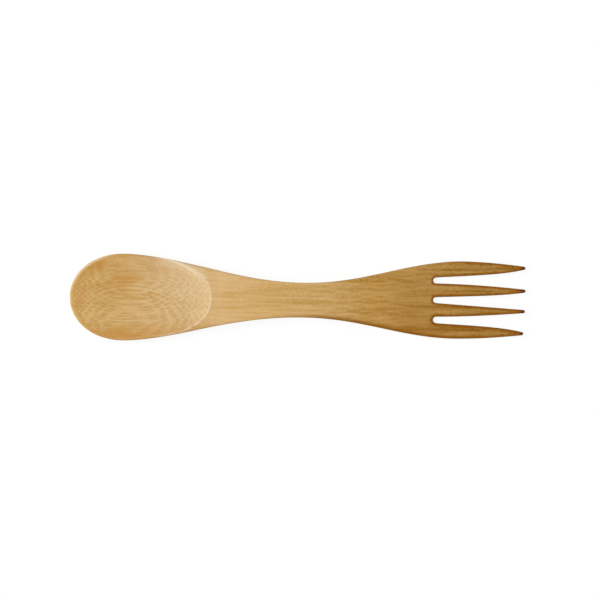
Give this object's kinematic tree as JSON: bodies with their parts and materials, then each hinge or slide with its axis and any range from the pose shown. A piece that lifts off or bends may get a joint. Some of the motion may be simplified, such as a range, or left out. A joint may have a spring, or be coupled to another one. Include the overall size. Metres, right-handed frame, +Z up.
{
  "type": "bamboo spoon-and-fork utensil",
  "caption": "Flat-lying bamboo utensil in one piece, with a shallow spoon bowl at one end, a narrow waist and fork tines at the other.",
  "frame": {"origin": "on the surface it lies on, under the middle of its length and width", "axes": "+X along the utensil from the spoon to the fork, +Y across it, +Z up out of the bowl"},
  "size_m": [0.165, 0.0314, 0.009],
  "materials": {
    "bamboo": "satin"
  },
  "bodies": {
    "root": {"spoon_fork": "bamboo"}
  },
  "joints": []
}
